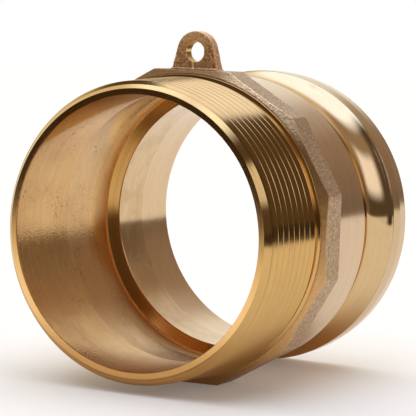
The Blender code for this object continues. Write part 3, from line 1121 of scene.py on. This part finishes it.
def add_floor():
    """A pale light table, which glows a little from below."""
    mesh = bmesh.new()
    mesh.faces.new([mesh.verts.new((x, y, 0.0)) for x, y in FLOOR_OUTLINE])
    floor = helper("floor", mesh)
    material = bpy.data.materials.new("pale_floor")
    material.use_nodes = True
    shader = material.node_tree.nodes["Principled BSDF"]
    shader.inputs["Base Color"].default_value = FLOOR_COLOUR
    shader.inputs["Roughness"].default_value = 0.9
    shader.inputs["Specular IOR Level"].default_value = 0.0
    shader.inputs["Emission Color"].default_value = FLOOR_GLOW_COLOUR
    shader.inputs["Emission Strength"].default_value = FLOOR_GLOW
    floor.data.materials.append(material)


STUDIO_DARK = (0.125, 0.09, 0.065)
# Azimuth 0 is behind the object and 90 on its right. Each patch has its azimuth from, to and
# softness, its elevation from, to and softness, and its colour. Later ones lie over earlier ones.
STUDIO_PATCHES = (
    ((-12.0, 38.0, 6.0), (0.0, 90.0, 0.5), (0.36, 0.27, 0.20)),
    ((-12.0, 38.0, 6.0), (24.0, 90.0, 12.0), (0.48, 0.37, 0.27)),
    ((25.0, 38.0, 1.5), (0.0, 20.0, 6.0), (0.23, 0.175, 0.13)),
    ((-12.0, 38.0, 6.0), (0.0, 4.0, 4.0), (0.24, 0.19, 0.15)),
    ((-60.0, 12.0, 10.0), (27.0, 90.0, 5.0), (0.95, 0.93, 0.92)),
    ((-110.0, -8.0, 8.0), (0.0, 90.0, 0.5), (1.08, 1.08, 1.02)),
    ((30.0, 100.0, 10.0), (35.0, 70.0, 8.0), (0.42, 0.34, 0.26)),
    ((40.0, 92.0, 9.0), (12.5, 37.0, 5.0), (1.38, 1.42, 1.66)),
    ((114.0, 128.0, 3.0), (16.0, 38.0, 3.0), (1.2, 1.25, 1.45)),
)
OVERHEAD_BACK = (1.75, 2.15, 3.1)
OVERHEAD_FRONT = (1.5, 1.75, 2.7)
OVERHEAD_BACK_EDGE = 56.0
OVERHEAD_FRONT_EDGE = 40.5
BEYOND_FLOOR = (0.95, 0.93, 0.87)
UNLIT_FRONT = (0.05, 0.035, 0.025)


def studio_light(nodes, azimuth, elevation):
    """The colour that each direction of the studio shows to the brass."""
    light = colour(*STUDIO_DARK)
    for across, upward, tint in STUDIO_PATCHES:
        mask = nodes.times(nodes.window(azimuth, *across), nodes.window(elevation, *upward))
        light = nodes.blend(mask, light, colour(*tint))
    turn = nodes.plus(azimuth, nodes.step(azimuth, -0.01, 0.01, 360.0, 0.0))
    front = nodes.times(nodes.step(turn, 150.0, 178.0), nodes.step(turn, 195.0, 235.0, 1.0, 0.0))
    edge = nodes.step(front, 0.0, 1.0, OVERHEAD_BACK_EDGE, OVERHEAD_FRONT_EDGE)
    above = nodes.times(nodes.minus(elevation, edge), nodes.step(front, 0.0, 1.0, 1.0, 2.5))
    overhead = nodes.blend(front, colour(*OVERHEAD_BACK), colour(*OVERHEAD_FRONT))
    light = nodes.blend(nodes.step(above, -6.0, 9.0), light, overhead)
    unlit = nodes.step(nodes.math("ABSOLUTE", azimuth), 96.0, 104.0)
    below = nodes.blend(unlit, colour(*BEYOND_FLOOR), colour(*UNLIT_FRONT))
    return nodes.blend(nodes.step(elevation, -0.5, 0.5), below, light)


def add_world():
    """The studio for the brass to reflect, and plain white behind the object."""
    world = bpy.data.worlds.new("studio")
    bpy.context.scene.world = world
    world.use_nodes = True
    tree = world.node_tree
    nodes = Nodes(tree)
    coordinates = tree.nodes.new("ShaderNodeTexCoord")
    x, y, z = nodes.split(coordinates.outputs["Generated"])
    elevation = nodes.math("DEGREES", nodes.math("ARCSINE", z))
    azimuth = nodes.math("DEGREES", nodes.math("ARCTAN2", x, y))
    studio = tree.nodes["Background"]
    nodes.put(studio.inputs["Color"], studio_light(nodes, azimuth, elevation))
    plain = tree.nodes.new("ShaderNodeBackground")
    plain.inputs["Color"].default_value = colour(1.0, 1.0, 1.0)
    paths = tree.nodes.new("ShaderNodeLightPath")
    mix = tree.nodes.new("ShaderNodeMixShader")
    nodes.put(mix.inputs[0], paths.outputs["Is Camera Ray"])
    tree.links.new(studio.outputs[0], mix.inputs[1])
    tree.links.new(plain.outputs[0], mix.inputs[2])
    tree.links.new(mix.outputs[0], tree.nodes["World Output"].inputs["Surface"])


add_camera()
core = core_brass("core_brass")
step = step_brass("step_brass")
rear = rear_brass("rear_bore_brass")
thread = thread_brass("thread_brass")
satin = turned_brass("satin_brass", SATIN_FINISH, 0.5, SATIN_EDGE)
polished = turned_brass("polished_brass", POLISHED_FINISH, 0.9, POLISHED_EDGE)
lip_brass = turned_brass("lip_brass", LIP_FINISH, 0.8, LIP_EDGE_TINT)
collar_cast = cast_skin("collar_casting", COLLAR_CASTING)
ear_cast = cast_skin("ear_casting", EAR_CASTING)
add_piece("threaded_spigot", spigot_mesh(), (thread, core, step, rear), bore_slot)
add_piece("wrench_collar", collar_mesh(), (collar_cast, core, step, rear), bore_slot)
add_piece("chain_ear", ear_mesh(), (ear_cast, polished), eye_slot)
add_piece("shank", shank_mesh(), (satin, core, step, rear), bore_slot)
add_piece("cam_groove", groove_mesh(), (polished, core, step, rear), bore_slot)
add_piece("lip", lip_mesh(), (lip_brass, core, step, rear), bore_slot)
add_floor()
add_world()

view = bpy.context.scene.view_settings
view.view_transform = "Standard"
